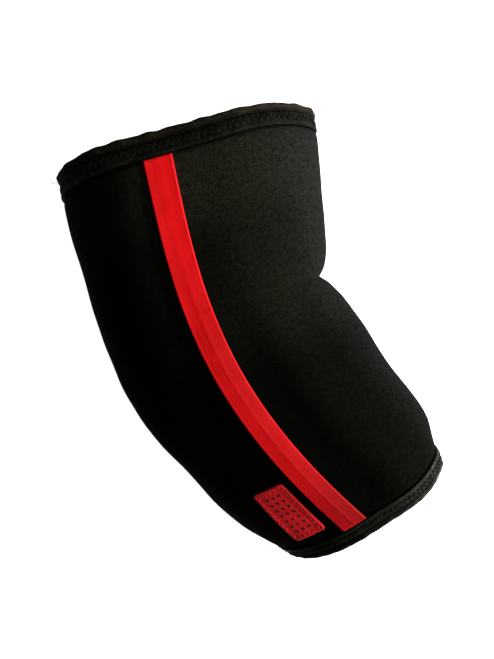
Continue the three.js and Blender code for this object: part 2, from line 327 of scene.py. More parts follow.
def settled(side):
    """A short cloth simulation of a panel that is held at its seams and rims and where it rests."""
    rows = np.linspace(UPPER_BINDING_TALL, SLEEVE_LENGTH - LOWER_BINDING_TALL, SETTLE_ROWS)
    shares = np.linspace(0, 1, SETTLE_COLUMNS)
    placed = [on_side(y / SLEEVE_LENGTH, side, shares * whole_walk(y / SLEEVE_LENGTH, side)) for y in rows]
    starts, outs = (np.array([row[k] for row in placed]) for k in (0, 1))
    mesh = bpy.data.meshes.new("settling")
    mesh.from_pydata((starts.reshape(-1, 3) * MM).tolist(), [], quads_between(SETTLE_ROWS, SETTLE_COLUMNS))
    sheet = add("settling", mesh)
    pinned = starts[..., 2] < 1
    pinned[[0, -1]] = pinned[:, [0, -1]] = True
    sheet.vertex_groups.new(name="held").add(np.flatnonzero(pinned).tolist(), 1, "REPLACE")
    cloth = sheet.modifiers.new("settling", "CLOTH")
    cloth.settings.quality = SETTLE_QUALITY
    cloth.settings.vertex_group_mass = "held"
    cloth.settings.tension_stiffness = cloth.settings.compression_stiffness = SETTLE_STRETCH
    cloth.settings.bending_stiffness = SETTLE_BEND
    cloth.settings.effector_weights.gravity = SETTLE_WEIGHT
    cloth.point_cache.frame_end = SETTLE_FRAMES
    for step in range(1, SETTLE_FRAMES + 1):
        SCENE.frame_set(step)
    seen = sheet.evaluated_get(bpy.context.evaluated_depsgraph_get()).to_mesh()
    ends = np.empty(starts.size)
    seen.vertices.foreach_get("co", ends)
    moved = ((ends.reshape(starts.shape) / MM - starts) * outs).sum(-1)
    SCENE.frame_set(1)
    bpy.data.objects.remove(sheet)
    bpy.data.meshes.remove(mesh)
    moved = softened(SETTLE_CAP * np.tanh(moved / SETTLE_CAP), 5)
    return np.linspace(rows[0], rows[-1], moved.shape[0]), np.linspace(0, 1, moved.shape[1]), moved


def grip(along):
    """1 where a binding grips the panel and 0 where the panel is free, with a soft swell between."""
    upper = np.clip((along - UPPER_BINDING_TALL) / FREED_LONG, 0, 1)
    lower = np.clip((SLEEVE_LENGTH - LOWER_BINDING_TALL - along) / FREED_LONG, 0, 1)
    freed = np.minimum(upper, lower)
    return 1 - np.sqrt(1 - (1 - freed) ** 2)


# Making meshes

def add(name, data):
    """A new object in the scene."""
    made = bpy.data.objects.new(name, data)
    SCENE.collection.objects.link(made)
    return made


def beside(*columns):
    """Columns side by side, where a plain number fills a whole column."""
    return np.column_stack(np.broadcast_arrays(*columns))


def mesh_object(name, points, faces, cloth, material):
    """points in millimetres from the seam's upper end; cloth holds each point's place in the cloth."""
    mesh = bpy.data.meshes.new(name)
    mesh.from_pydata(((points + SHIFT) * MM).tolist(), [], faces)
    mesh.validate()
    places = mesh.attributes.new("cloth", "FLOAT_VECTOR", "POINT")
    places.data.foreach_set("vector", np.asarray(cloth, np.float32).ravel())
    mesh.shade_smooth()
    mesh.materials.append(material)
    return add(name, mesh)


def face_out(points, faces):
    """The four-cornered faces turned so that the closed mesh has its outside out."""
    quads = np.array(faces)
    a, b, c, d = (points[quads[:, k]] for k in range(4))
    volume = np.sum(a * np.cross(b, c)) + np.sum(a * np.cross(c, d))
    return (quads[:, ::-1] if volume < 0 else quads).tolist()


def quads_between(rows, columns, first=0, closed=False):
    """The faces of a grid of points, row after row, closed round along its columns or open."""
    ends = columns if closed else columns - 1
    return [(first + r * columns + c, first + (r + 1) * columns + c,
             first + (r + 1) * columns + (c + 1) % columns, first + r * columns + (c + 1) % columns)
            for r in range(rows - 1) for c in range(ends)]


def shell(name, outer, inner, cloth, material):
    """A closed sheet between two grids of points, given as lists of rows."""
    outer, inner, cloth = np.array(outer), np.array(inner), np.array(cloth).reshape(-1, 3)
    rows, columns = outer.shape[:2]
    points = np.concatenate([outer.reshape(-1, 3), inner.reshape(-1, 3)])
    under = rows * columns
    faces = quads_between(rows, columns)
    faces += [tuple(reversed(face)) for face in quads_between(rows, columns, under)]
    border = [r * columns for r in range(rows)]
    border += [(rows - 1) * columns + c for c in range(1, columns)]
    border += [r * columns + columns - 1 for r in range(rows - 2, -1, -1)]
    border += list(range(columns - 2, 0, -1))
    for k, here in enumerate(border):
        after = border[(k + 1) % len(border)]
        faces.append((after, here, here + under, after + under))
    both = np.concatenate([cloth, cloth - [0, 0, WALL]])
    return mesh_object(name, points, face_out(points, faces), both, material)


def tube(points, radius, sides):
    """Points and faces of a round thread along a line, with closed ends."""
    heading = np.gradient(points, axis=0)
    heading /= np.linalg.norm(heading, axis=1)[:, None]
    up = np.array([0.0, 0.0, 1.0]) if abs(heading[0][2]) < 0.9 else np.array([1.0, 0.0, 0.0])
    rings = []
    for spot, way in zip(points, heading):
        side = np.cross(way, up)
        side /= np.linalg.norm(side)
        up = np.cross(side, way)
        turns = np.arange(sides) * 2 * math.pi / sides
        rings.append(spot + radius * (np.cos(turns)[:, None] * side + np.sin(turns)[:, None] * up))
    faces = quads_between(len(points), sides, closed=True)
    last = (len(points) - 1) * sides
    faces += [tuple(range(sides)), tuple(last + k for k in range(sides - 1, -1, -1))]
    return np.concatenate(rings), faces


def threads(name, lines, radius, material, sides=6):
    """Many stitches as one piece."""
    points, faces, cloth, first = [], [], [], 0
    for line in lines:
        line = np.asarray(line, float)
        ring, found = tube(line, radius, sides)
        walked = np.concatenate([[0], np.cumsum(np.linalg.norm(np.diff(line, axis=0), axis=1))])
        points.append(ring)
        faces += [tuple(first + k for k in face) for face in found]
        cloth.append(beside(np.tile(np.arange(sides) / sides, len(line)), np.repeat(walked, sides), 0))
        first += len(ring)
    return mesh_object(name, np.concatenate(points), faces, np.concatenate(cloth), material)


def smooth_line(knots, count, roundness=0.8):
    """Evenly spaced points of a smooth line through knots."""
    walked = np.concatenate([[0], np.cumsum(np.linalg.norm(np.diff(knots, axis=0), axis=1))])
    slopes = np.gradient(knots, walked, axis=0)
    places = np.linspace(0, walked[-1], count)
    i = np.clip(np.searchsorted(walked, places, side="right") - 1, 0, len(knots) - 2)
    span = (walked[i + 1] - walked[i])[:, None]
    t = (places - walked[i])[:, None] / span
    pull = span * roundness
    return eased(t, knots[i], knots[i + 1], slopes[i] * pull, slopes[i + 1] * pull)


# The pieces

def panel(name, side, material):
    """A neoprene panel: its outer face, its inner face and its edges."""
    along = np.linspace(BINDING_CLOTH + CLEARANCE, SLEEVE_LENGTH - BINDING_CLOTH - CLEARANCE,
                        round(SLEEVE_LENGTH / PANEL_STEP))
    near_upper = UPPER_BINDING_TALL + np.linspace(0, FREED_LONG, FREED_ROWS)
    near_lower = SLEEVE_LENGTH - LOWER_BINDING_TALL - np.linspace(0, FREED_LONG, FREED_ROWS)
    along = np.unique(np.round(np.concatenate([along, near_upper, near_lower]), 3))
    columns = round(max(whole_walk(at, side) for at in (0, 0.5, 1)) / PANEL_STEP)
    outer, inner, cloth = [], [], []
    for y in along:
        at = y / SLEEVE_LENGTH
        walks = np.linspace(CLEARANCE / 2, whole_walk(at, side) - CLEARANCE / 2, columns)
        spot, out, edge = on_side(at, side, walks)
        held = grip(y)
        lift = relief(side, walks, y, edge) * (1 - held) - held * (BINDING_CLOTH + CLEARANCE)
        top = spot + out * lift[:, None]
        top[:, 2] = np.maximum(top[:, 2], 0)
        outer.append(top)
        inner.append(top - out * (WALL - held * (WALL - PINCHED_WALL)))
        cloth.append(beside(side * walks, y, 0))
    return shell(name, outer, inner, cloth, material)


def stripe(material):
    """The tape over the side seam, with thin edges, a low middle ridge and a bead along each edge."""
    start, end = UPPER_BINDING_TALL + CLEARANCE, SLEEVE_LENGTH - LOWER_BINDING_TALL - CLEARANCE
    shares = np.linspace(-1, 1, STRIPE_COLUMNS)
    halves = ((ELBOW, shares[shares < 0]), (CROOK, shares[shares >= 0]))
    outer, inner, cloth = [], [], []
    for y in np.linspace(start, end, STRIPE_ROWS):
        at = y / SLEEVE_LENGTH
        half = stripe_width(at) / 2
        row = np.concatenate([on_side(at, side, np.abs(part) * half)[0] for side, part in halves])
        to_end = min(y - start, end - y)
        rounding = np.sqrt(np.clip(1 - ((np.abs(shares) - 0.93) / 0.07).clip(0, 1) ** 2, 0, 1))
        rounding = np.minimum(rounding, math.sqrt(1 - (1 - min(to_end / 0.8, 1)) ** 2))
        ridge = STRIPE_RIDGE * smooth(0.2, 0.5, at) * hump(shares, 0, 0.16)
        bead = STRIPE_BEAD * hump(np.abs(shares), 0.9, 0.05)
        wave = STRIPE_WAVE * soft_waves(shares * half, y, SEED + 9, 14)
        thick = STRIPE_THICK - STRIPE_EDGE + STRIPE_LIFT * shares**2
        lift = CLEARANCE + STRIPE_EDGE + thick * rounding + ridge + bead + wave
        outer.append(row + np.array([0, 0, 1]) * lift[:, None])
        inner.append(row + [0, 0, CLEARANCE])
        cloth.append(beside(shares * half, y, 0))
    return shell("side_stripe_tape", outer, inner, cloth, material)


def on_patch(x, y):
    """Places under the patch, by its own x and y: the face, the way out and the cloth's relief."""
    along = SLEEVE_LENGTH - LOWER_BINDING_TALL - PATCH_FROM_BINDING - PATCH_LONG / 2 - y
    at = along / SLEEVE_LENGTH
    walks = stripe_width(at) / 2 + PATCH_FROM_STRIPE + PATCH_WIDE / 2 + x
    spot, out, edge = on_side(at, ELBOW, walks)
    return spot, out, relief(ELBOW, walks, along, edge)


def patch(material):
    """A plain rectangular patch with a raised edge and a grid of small raised dots."""
    outer, inner, cloth = [], [], []
    for y in np.linspace(-PATCH_LONG / 2, PATCH_LONG / 2, PATCH_ROWS):
        into_corner = min(max(abs(y) - (PATCH_LONG / 2 - PATCH_CORNER), 0), PATCH_CORNER)
        half = PATCH_WIDE / 2 - (PATCH_CORNER - math.sqrt(PATCH_CORNER**2 - into_corner**2))
        x = np.linspace(-half, half, PATCH_COLUMNS)
        spot, out, ground = on_patch(x, y)
        inset = np.minimum(half - np.abs(x), PATCH_LONG / 2 - abs(y))
        rolled = np.sqrt(np.clip(1 - (1 - np.clip(inset / 0.6, 0, 1)) ** 2, 0, 1))
        border = PATCH_BORDER * hump(inset, 0.75, 0.45)
        lift = CLEARANCE + PATCH_EDGE + (PATCH_THICK - PATCH_EDGE) * rolled + border + patch_dots(x, y)
        outer.append(spot + out * (lift + ground)[:, None])
        inner.append(spot + out * (CLEARANCE + ground)[:, None])
        cloth.append(beside(x, y, 0))
    return shell("plain_patch", outer, inner, cloth, material)


def patch_dots(x, y):
    """Raised dots on the patch, in rows, inside its stitched edge."""
    off_x, off_y = ((v + DOT_SPACING / 2) % DOT_SPACING - DOT_SPACING / 2 for v in (x, y))
    inside = (np.abs(x) < DOTS_HALF_WIDE) & (abs(y) < DOTS_HALF_LONG)
    return np.where(inside, DOT_HIGH * smooth(DOT_RADIUS, DOT_RADIUS * 0.5, np.hypot(off_x, off_y)), 0)


def rim_grid(tall, from_upper):
    """The plain face under a binding: points round the rim at each distance down from it."""
    downs = np.linspace(0, tall, RIM_ROWS)
    rim = 0 if from_upper else 1
    counts = {side: round(whole_walk(rim, side) / RIM_STEP) for side in (ELBOW, CROOK)}
    spots, outs = [], []
    for down in downs:
        at = abs(rim - down / SLEEVE_LENGTH)
        row, way = [], []
        for side in (ELBOW, CROOK):
            parts = np.arange(counts[side]) / counts[side]
            parts = parts if side == ELBOW else 1 - parts
            spot, out, _ = on_side(at, side, parts * whole_walk(at, side))
            row.append(spot)
            way.append(out)
        spots.append(np.concatenate(row))
        outs.append(np.concatenate(way))
    spots = np.array(spots)
    strides = np.linalg.norm(np.roll(spots[0], -1, 0) - spots[0], axis=1)
    walked = np.concatenate([[0], np.cumsum(strides)])
    return {"downs": downs, "spots": spots, "outs": np.array(outs), "walked": walked[:-1],
            "round": walked[-1]}


def on_rim(grid, down, walk):
    """The point of the plain face at a distance down from the rim and round it, and the way out."""
    count = len(grid["walked"])
    marks = np.append(grid["walked"], grid["round"])
    place = np.interp(np.mod(walk, grid["round"]), marks, np.arange(count + 1))
    i = np.floor(place).astype(int) % count
    j, part = (i + 1) % count, (place % 1)[..., None]
    row = np.clip(np.asarray(down) / grid["downs"][1], 0, len(grid["downs"]) - 1.001)
    r, share = np.floor(row).astype(int), (row % 1)[..., None]
    found = []
    for name in ("spots", "outs"):
        field = grid[name]
        upper = field[r, i] * (1 - part) + field[r, j] * part
        lower = field[r + 1, i] * (1 - part) + field[r + 1, j] * part
        found.append(upper * (1 - share) + lower * share)
    spot, out = found
    return spot, out / np.linalg.norm(out, axis=-1)[..., None]


def face_height(down_share):
    """How far a binding's face stands out at a share of its height."""
    rows = BINDING_FACE[::-1]
    return np.interp(down_share, [row["down"] for row in rows], [row["out"] for row in rows])


def pulled(walk, round_length, down_share, period):
    """How far the stitches draw the binding in, and how its lip wanders."""
    turn = 2 * math.pi * walk / round_length
    rows = hump(down_share, ZIGZAG_FROM, 0.06) + hump(down_share, ZIGZAG_TO, 0.05)
    dimple = 0.2 * rows * (0.5 + 0.5 * np.cos(turn * round(round_length / period)))
    count = round(round_length / 13.5)
    scallop = 0.22 * np.sin(turn * count + 1.1 * np.sin(3 * turn)) + 0.14 * np.sin(turn * (2 * count + 3))
    creases = 0.12 * np.sin(turn * round(round_length / 3.7) + 2 * np.sin(5 * turn)) * np.sin(7 * turn)
    sag = 0.16 * np.sin(turn * (count + 5) + 1.4 * np.sin(4 * turn)) * hump(down_share, 0.66, 0.25)
    return hump(down_share, LIP_AT, 0.12) * (scallop + creases) - dimple + sag


def binding_section(foot, stand):
    """A binding's section as distances down from the rim and out of the plain face, face first."""
    grip_in = -BINDING_CLOTH - CLEARANCE * 2 - PINCHED_WALL
    deep = grip_in - BINDING_CLOTH
    face = np.array([[row["down"] * foot, row["out"] * stand] for row in BINDING_FACE])
    inside = np.array([[0.0, -2.0], [-0.15, -3.0], [0.0, -4.2], [0.5, deep * 0.95], [1.6, deep - 0.15],
                       [foot * 0.6, deep], [foot * 0.9, deep - 0.1], [foot * 0.99, deep + 0.1],
                       [foot, grip_in - 0.5]])
    back = np.array([[foot, grip_in], [BINDING_CLOTH, grip_in], [BINDING_CLOTH, -BINDING_CLOTH],
                     [foot, -BINDING_CLOTH]])
    return np.concatenate([smooth_line(face, FACE_POINTS), smooth_line(inside, INSIDE_POINTS), back])


def binding(name, tall, from_upper, period, material):
    """The cloth wrapped over a rim, round its whole length."""
    grid = rim_grid(tall, from_upper)
    foot = tall - CLEARANCE
    stand = UPPER_STAND if from_upper else LOWER_STAND
    walk = grid["walked"]
    onward = (grid["spots"][0] - grid["spots"][1]) / grid["downs"][1]
    turn = 2 * math.pi * walk / grid["round"]
    uneven = stand**2 * (0.18 * np.sin(23 * turn + 1.3 * np.sin(4 * turn))
                         + 0.11 * np.sin(37 * turn + 2 * np.sin(3 * turn)))
    points, cloth = [], []
    for k, (down, out) in enumerate(binding_section(foot, stand)):
        on_face = k < FACE_POINTS
        spot, way = on_rim(grid, np.full(len(walk), max(down, 0)), walk)
        pull = pulled(walk, grid["round"], down / foot, period) if on_face else 0 * walk
        ring = spot + way * (out + pull)[:, None]
        ring += onward * (max(-down, 0) + uneven * math.exp(-((down / foot / 0.2) ** 2)))[:, None]
        ring[:, 2] = np.maximum(ring[:, 2], 0)
        points.append(ring)
        cloth.append(beside(walk, down if on_face else -down - 3, out))
    points, cloth = np.array(points), np.array(cloth)
    sections, count = points.shape[:2]
    faces = quads_between(sections, count, closed=True)
    last = (sections - 1) * count
    faces += [(last + c, c, (c + 1) % count, last + (c + 1) % count) for c in range(count)]
    flat = points.reshape(-1, 3)
    return mesh_object(name, flat, face_out(flat, faces), cloth.reshape(-1, 3), material), grid


def rim_thread(grid, down, walk, arch):
    """A thread over a binding, at least its own radius above the floor."""
    spot, way = on_rim(grid, down, walk)
    line = spot + way * arch[:, None]
    line[:, 2] = np.maximum(line[:, 2], THREAD)
    return line


def hem_stitches(name, grid, tall, period, material):
    """A zigzag of thread over a binding's hem, with a straight row beside it."""
    foot = tall - CLEARANCE
    count = round(grid["round"] / period)
    pace = grid["round"] / count
    lines = []
    for k in range(count):
        for first, second, shift in ((ZIGZAG_FROM, ZIGZAG_TO, 0), (ZIGZAG_TO, ZIGZAG_FROM, 0.5)):
            share = np.linspace(0, 1, 7)
            down = (first + (second - first) * share) * foot
            arch = face_height(down / foot) + THREAD * 0.6
            arch += 0.12 * np.sin(math.pi * share) - 0.12 * (np.abs(share - 0.5) * 2) ** 4
            lines.append(rim_thread(grid, down, (k + shift + share * 0.5) * pace, arch))
    for k in range(count):
        share = np.linspace(0.08, 0.92, 6)
        down = np.full(6, GROOVE_AT * foot)
        arch = face_height(down / foot) + THREAD * 0.5 + 0.1 * np.sin(math.pi * share)
        lines.append(rim_thread(grid, down, (k + share) * pace, arch))
    return threads(name, lines, THREAD, material)


def patch_stitches(material):
    """Short stitches round the patch, just inside its raised edge."""
    inset, length, gap = 1.7, 1.5, 0.75
    half_x, half_y = PATCH_WIDE / 2 - inset, PATCH_LONG / 2 - inset
    corners = ((-half_x, -half_y), (half_x, -half_y), (half_x, half_y), (-half_x, half_y))
    lines = []
    for (from_x, from_y), (to_x, to_y) in zip(corners, corners[1:] + corners[:1]):
        count = round(math.hypot(to_x - from_x, to_y - from_y) / (length + gap))
        for k in range(count):
            share = (k + 0.5 + np.linspace(-0.5, 0.5, 6) * length / (length + gap)) / count
            line = []
            for part, arch in zip(share, np.sin(np.linspace(0, math.pi, 6))):
                x = np.array([from_x + (to_x - from_x) * part])
                spot, out, rise = on_patch(x, from_y + (to_y - from_y) * part)
                line.append(spot[0] + out[0] * (CLEARANCE + PATCH_THICK + rise[0] + 0.02 + 0.2 * arch))
            lines.append(line)
    return threads("plain_patch_stitches", lines, PATCH_THREAD, material)


def seam_stitches(name, on_top, material):
    """The flat zigzag that joins the panels, seen on the inner face of a side seam."""
    period, reach = 3.2, 2.6
    start, end = UPPER_BINDING_TALL + 4, SLEEVE_LENGTH - LOWER_BINDING_TALL - 4
    lines = []
    for k in range(int((end - start) / period)):
        for shift, flip in ((0, 1), (0.5, -1)):
            line = []
            for share in np.linspace(0, 1, 7):
                y = start + (k + shift + share * 0.5) * period
                x = flip * reach * (1 - 2 * share)
                side = ELBOW if x < 0 else CROOK
                at = y / SLEEVE_LENGTH
                walk = np.array([abs(x) if on_top else whole_walk(at, side) - abs(x)])
                spot, out, edge = on_side(at, side, walk)
                rise = relief(side, walk, y, edge)[0] if on_top else 0
                sunk = WALL + THREAD * 0.7 + 0.15 * math.sin(math.pi * share)
                line.append(spot[0] + out[0] * (rise - sunk))
            lines.append(line)
    return threads(name, lines, THREAD, material)


def stray_thread(grid, material):
    """A loose end of thread at the elbow side of the upper rim."""
    spot, way = on_rim(grid, np.array([2.5]), np.array([outline(0, ELBOW)["edge"] * 0.95]))
    root, way = spot[0] + way[0] * 0.9, way[0]
    steps = np.linspace(0, 1, 26)
    rise = np.array([-0.2, 1.0, 0.1])
    curl = np.column_stack([np.sin(steps * 5.0), np.cos(steps * 4.0) - 1, 0.5 * np.sin(steps * 3.0)])
    line = root + way * steps[:, None] * 2.2 + rise * steps[:, None] * 3.4 + curl * 0.7
    return threads("stray_thread", [line], STRAY_THREAD, material)


SETTLED = {side: settled(side) for side in (ELBOW, CROOK)}


# Nodes of a material

def is_socket(value):
    return isinstance(value, bpy.types.NodeSocket)


def plug(node, inputs):
    """Sets a node's inputs: a socket is linked to them, and a plain value is set on them."""
    for key, value in inputs.items():
        if is_socket(value):
            node.id_data.links.new(value, node.inputs[key])
        else:
            node.inputs[key].default_value = value


def put(kind, inputs, tree=None, **settings):
    """A new node with its settings and inputs, in the tree of the sockets that feed it."""
    tree = tree or next(value.id_data for value in inputs.values() if is_socket(value))
    made = tree.nodes.new(kind)
    for name, value in settings.items():
        setattr(made, name, value)
    plug(made, inputs)
    return made


def calc(operation, a, b=0.0, c=0.0):
    return put("ShaderNodeMath", {0: a, 1: b, 2: c}, operation=operation).outputs[0]


def plus(a, b):
    return calc("ADD", a, b)


def times(a, b):
    return calc("MULTIPLY", a, b)


def wave(turns):
    """A sine that repeats once for each whole turn."""
    return calc("SINE", times(turns, 2 * math.pi))


def axes_of(vector):
    return put("ShaderNodeSeparateXYZ", {0: vector}).outputs


def ramp(value, reach=(0.0, 1.0), ends=(0.0, 1.0), kind="LINEAR"):
    """One number turning into another while a value crosses its reach."""
    return put("ShaderNodeMapRange", {"Value": value, "From Min": reach[0], "From Max": reach[1],
                                      "To Min": ends[0], "To Max": ends[1]},
               interpolation_type=kind).outputs[0]


def sloped(value, reach, ends=(0.0, 1.0)):
    """The same with a soft start and end."""
    return ramp(value, reach, ends, "SMOOTHSTEP")


def blend(share, first, second):
    """A colour between two, by a mask."""
    first, second = (colour if is_socket(colour) else (*colour, 1) for colour in (first, second))
    return put("ShaderNodeMix", {0: share, 6: first, 7: second}, data_type="RGBA").outputs[2]


def group(name, values, result):
    """An empty node group that reads a place in the cloth and plain values and puts out one number."""
    tree = bpy.data.node_groups.new(name, "ShaderNodeTree")
    tree.interface.new_socket("Cloth", in_out="INPUT", socket_type="NodeSocketVector")
    for socket, value in values.items():
        made = tree.interface.new_socket(socket, in_out="INPUT", socket_type="NodeSocketFloat")
        made.default_value = value
    tree.interface.new_socket(result, in_out="OUTPUT", socket_type="NodeSocketFloat")
    given, out = tree.nodes.new("NodeGroupInput").outputs, tree.nodes.new("NodeGroupOutput")
    return tree, given, lambda made: tree.links.new(made, out.inputs[result])


def knit_face():
    """Rows of small loops, as on knitted jersey: Height from 0 to 1."""
    tree, given, give_out = group("knit_face", {"Wale": 0.7, "Course": 0.55}, "Height")
    parts = axes_of(given["Cloth"])
    cell = calc("FRACT", calc("DIVIDE", parts[0], given["Wale"]))
    off_middle = calc("ABSOLUTE", calc("SUBTRACT", cell, 0.5))
    row = calc("DIVIDE", parts[1], given["Course"])
    loop = wave(calc("MULTIPLY_ADD", off_middle, 1.1, row))
    rows = calc("MULTIPLY_ADD", loop, 0.35, 0.65)
    give_out(times(wave(off_middle), rows))
    return tree


def twill_face():
    """Slanted ribs, as on woven tape: Height from 0 to 1."""
    tree, given, give_out = group("twill_face", {"Spacing": 0.5, "Slant": 1.0}, "Height")
    parts = axes_of(given["Cloth"])
    run = calc("MULTIPLY_ADD", parts[1], given["Slant"], parts[0])
    rib = wave(calc("DIVIDE", run, given["Spacing"]))
    pick = wave(times(calc("DIVIDE", parts[1], given["Spacing"]), 2.0))
    give_out(plus(calc("MULTIPLY_ADD", pick, 0.2, times(rib, 0.3)), 0.5))
    return tree


def lint_specks():
    """Small pale fibres and specks that cling to cloth: Mask from 0 to 1."""
    tree, given, give_out = group("lint_specks", {"Spacing": 2.0, "Size": 0.12, "Share": 0.5}, "Mask")
    finer = calc("DIVIDE", 1.0, given["Spacing"])
    scaled = put("ShaderNodeVectorMath", {0: given["Cloth"], "Scale": finer}, operation="SCALE").outputs[0]
    bent = put("ShaderNodeTexNoise", {"Vector": scaled, "Scale": 3.0, "Detail": 2.0}).outputs["Color"]
    nudged = put("ShaderNodeVectorMath", {0: bent, 1: (0.5, 0.5, 0.5), 2: scaled},
                 operation="MULTIPLY_ADD").outputs[0]
    cells = put("ShaderNodeTexVoronoi", {"Vector": nudged, "Scale": 1.0}, feature="F1").outputs
    near = ramp(cells["Distance"], (given["Size"], 0.0))
    pick = put("ShaderNodeSeparateColor", {0: cells["Color"]}).outputs[0]
    give_out(times(near, calc("LESS_THAN", pick, given["Share"])))
    return tree


def worn_patches():
    """Broad soft variation of a surface, with finer grain in it: Mask from 0 to 1."""
    tree, given, give_out = group("worn_patches", {"Size": 30.0, "Grain": 0.4}, "Mask")
    scale = calc("DIVIDE", 1.0, given["Size"])
    broad, fine = (put("ShaderNodeTexNoise", {"Vector": given["Cloth"], "Scale": size, "Detail": detail,
                                              "Roughness": roughness}).outputs["Fac"]
                   for size, detail, roughness in ((scale, 4.0, 0.6), (1.1, 3.0, 0.7)))
    mixed = calc("MULTIPLY_ADD", calc("SUBTRACT", fine, 0.5), given["Grain"], broad)
    give_out(ramp(mixed, (0.3, 0.7)))
    return tree


GROUPS = {make.__name__: make() for make in (knit_face, twill_face, lint_specks, worn_patches)}


def effect(name, cloth, **values):
    """A shared effect placed in a material, with its own values."""
    inputs = {key.title(): value for key, value in values.items()}
    return put("ShaderNodeGroup", {"Cloth": cloth, **inputs}, node_tree=GROUPS[name]).outputs[0]


def new_material(name):
    """A material, its shader and the place in the cloth: across, along and out, in mm."""
    made = bpy.data.materials.new(name)
    made.use_nodes = True
    tree = made.node_tree
    cloth = put("ShaderNodeAttribute", {}, tree, attribute_name="cloth").outputs["Vector"]
    return made, tree.nodes["Principled BSDF"], cloth


def raise_by(shader, height, distance, strength=1.0):
    """Bumps of a height map, at most a distance in millimetres high."""
    bump = put("ShaderNodeBump", {"Height": height, "Distance": distance * MM, "Strength": strength})
    plug(shader, {"Normal": bump.outputs[0]})


def neoprene_jersey():
    """Matt black knitted jersey over foam, with painted light: greyer near the top and toward the crook,
    where the lamp falls, nearly black on the elbow side and dimmer toward the forearm, with a neutral
    painted gloss at the crook edge.
    """
    made, shader, cloth = new_material("neoprene_jersey")
    knit = effect("knit_face", cloth, wale=0.62, course=0.5)
    worn = effect("worn_patches", cloth, size=26.0, grain=0.9)
    mottled = effect("worn_patches", cloth, size=2.3, grain=1.2)
    lint = effect("lint_specks", cloth, spacing=1.7, size=0.19, share=0.6)
    pits = effect("lint_specks", cloth, spacing=2.3, size=0.3, share=0.7)
    across_mm, along_mm, _ = axes_of(cloth)
    # Painted light and shade: the cloth is painted greyer near the top and on the crook side, which faces
    # the lamp, and stays nearly black on the elbow side and dimmer toward the forearm.
    painted_crook_edge_light = sloped(across_mm, (48, 70), (0.0, 0.11))
    upper = sloped(across_mm, (-22, 0), (0.065, 0.415))
    middle = plus(sloped(across_mm, (-26, -10), (0.015, 0.115)),
                  plus(sloped(across_mm, (10, 30), (0.0, 0.13)), painted_crook_edge_light))
    lower = plus(sloped(across_mm, (8, 40), (0.03, 0.095)), painted_crook_edge_light)
    painted_light_share = sloped(along_mm, (90, 125), (sloped(along_mm, (28, 58), (upper, middle)), lower))
    patchy = times(ramp(mottled, ends=(0.55, 1.45)), ramp(pits, ends=(1.0, 0.4)))
    speckled = times(calc("MULTIPLY_ADD", lint, 1.3, patchy), ramp(knit, ends=(0.8, 1.3)))
    # Painted reflection: the olive tint turns neutral toward the crook edge as a painted gloss. The
    # painted light mask above, with the speckles, sets how far each place moves from black toward it.
    olive_to_painted_gloss = blend(sloped(across_mm, (35, 70)), (0.0186, 0.02, 0.0124), (0.0198, 0.02, 0.0178))
    colour = blend(times(painted_light_share, speckled), (0.0002, 0.0002, 0.0001), olive_to_painted_gloss)
    plug(shader, {"Base Color": colour, "Roughness": ramp(worn, ends=(0.75, 0.6)),
                  "Specular IOR Level": 0.002})
    raise_by(shader, calc("MULTIPLY_ADD", worn, 0.7, plus(knit, lint)), 0.14, 0.8)
    return made


def binding_cloth(name, pale, least, at):
    """Ribbed black binding with painted light: a brownish painted highlight on its raised lip, painted
    paler toward the crook where the lamp falls, and painted shade where it sinks below its face.
    """
    made, shader, cloth = new_material(name)
    whole = float(sum(whole_walk(at, side) for side in (ELBOW, CROOK)))
    walk, _, depth = axes_of(cloth)
    # Painted light: the binding is painted paler toward the crook, the side the lamp lights. least is how
    # much of it stays on the elbow side, and pale scales the paler tones.
    painted_light_at_crook = times(sloped(walk, (0.45 * whole, 0.6 * whole), (least, 1.0)),
                     sloped(walk, (whole - 44, whole - 10), (1.0, least)))
    ribs = effect("twill_face", cloth, spacing=0.62, slant=0.55)
    # Here worn is the worn patches times this painted light toward the crook.
    worn = times(effect("worn_patches", cloth, size=7.0, grain=1.0), painted_light_at_crook)
    lint = effect("lint_specks", cloth, spacing=1.9, size=0.24, share=0.35)
    raised, lip = ramp(depth, (-0.4, 0.35)), ramp(depth, (0.65, 1.1))
    hem = blend(worn, (0.0014, 0.0015, 0.0009), (0.0069 * pale, 0.0066 * pale, 0.0047 * pale))
    # Painted highlight: the raised lip is painted brownish where the worn mask, painted lighter toward the
    # crook, is high.
    ground = blend(times(lip, worn), hem, (0.014 * pale, 0.0085 * pale, 0.0055 * pale))
    colour = blend(ramp(lint, ends=(0.0, 0.7)), ground, (0.05, 0.052, 0.028))
    # Painted shade: where the binding lies below its face, in the groove, at the foot, over the turn of
    # the rim and on the inner side, it is painted near black.
    plug(shader, {"Base Color": blend(raised, (0.0004, 0.0004, 0.0002), colour),
                  "Roughness": ramp(worn, ends=(0.82, 0.66)),
                  "Specular IOR Level": 0.016 * pale, "Specular Tint": (1.0, 0.97, 0.72, 1)})
    raise_by(shader, calc("MULTIPLY_ADD", worn, 0.6, plus(ribs, lint)), 0.16, 0.9)
    return made


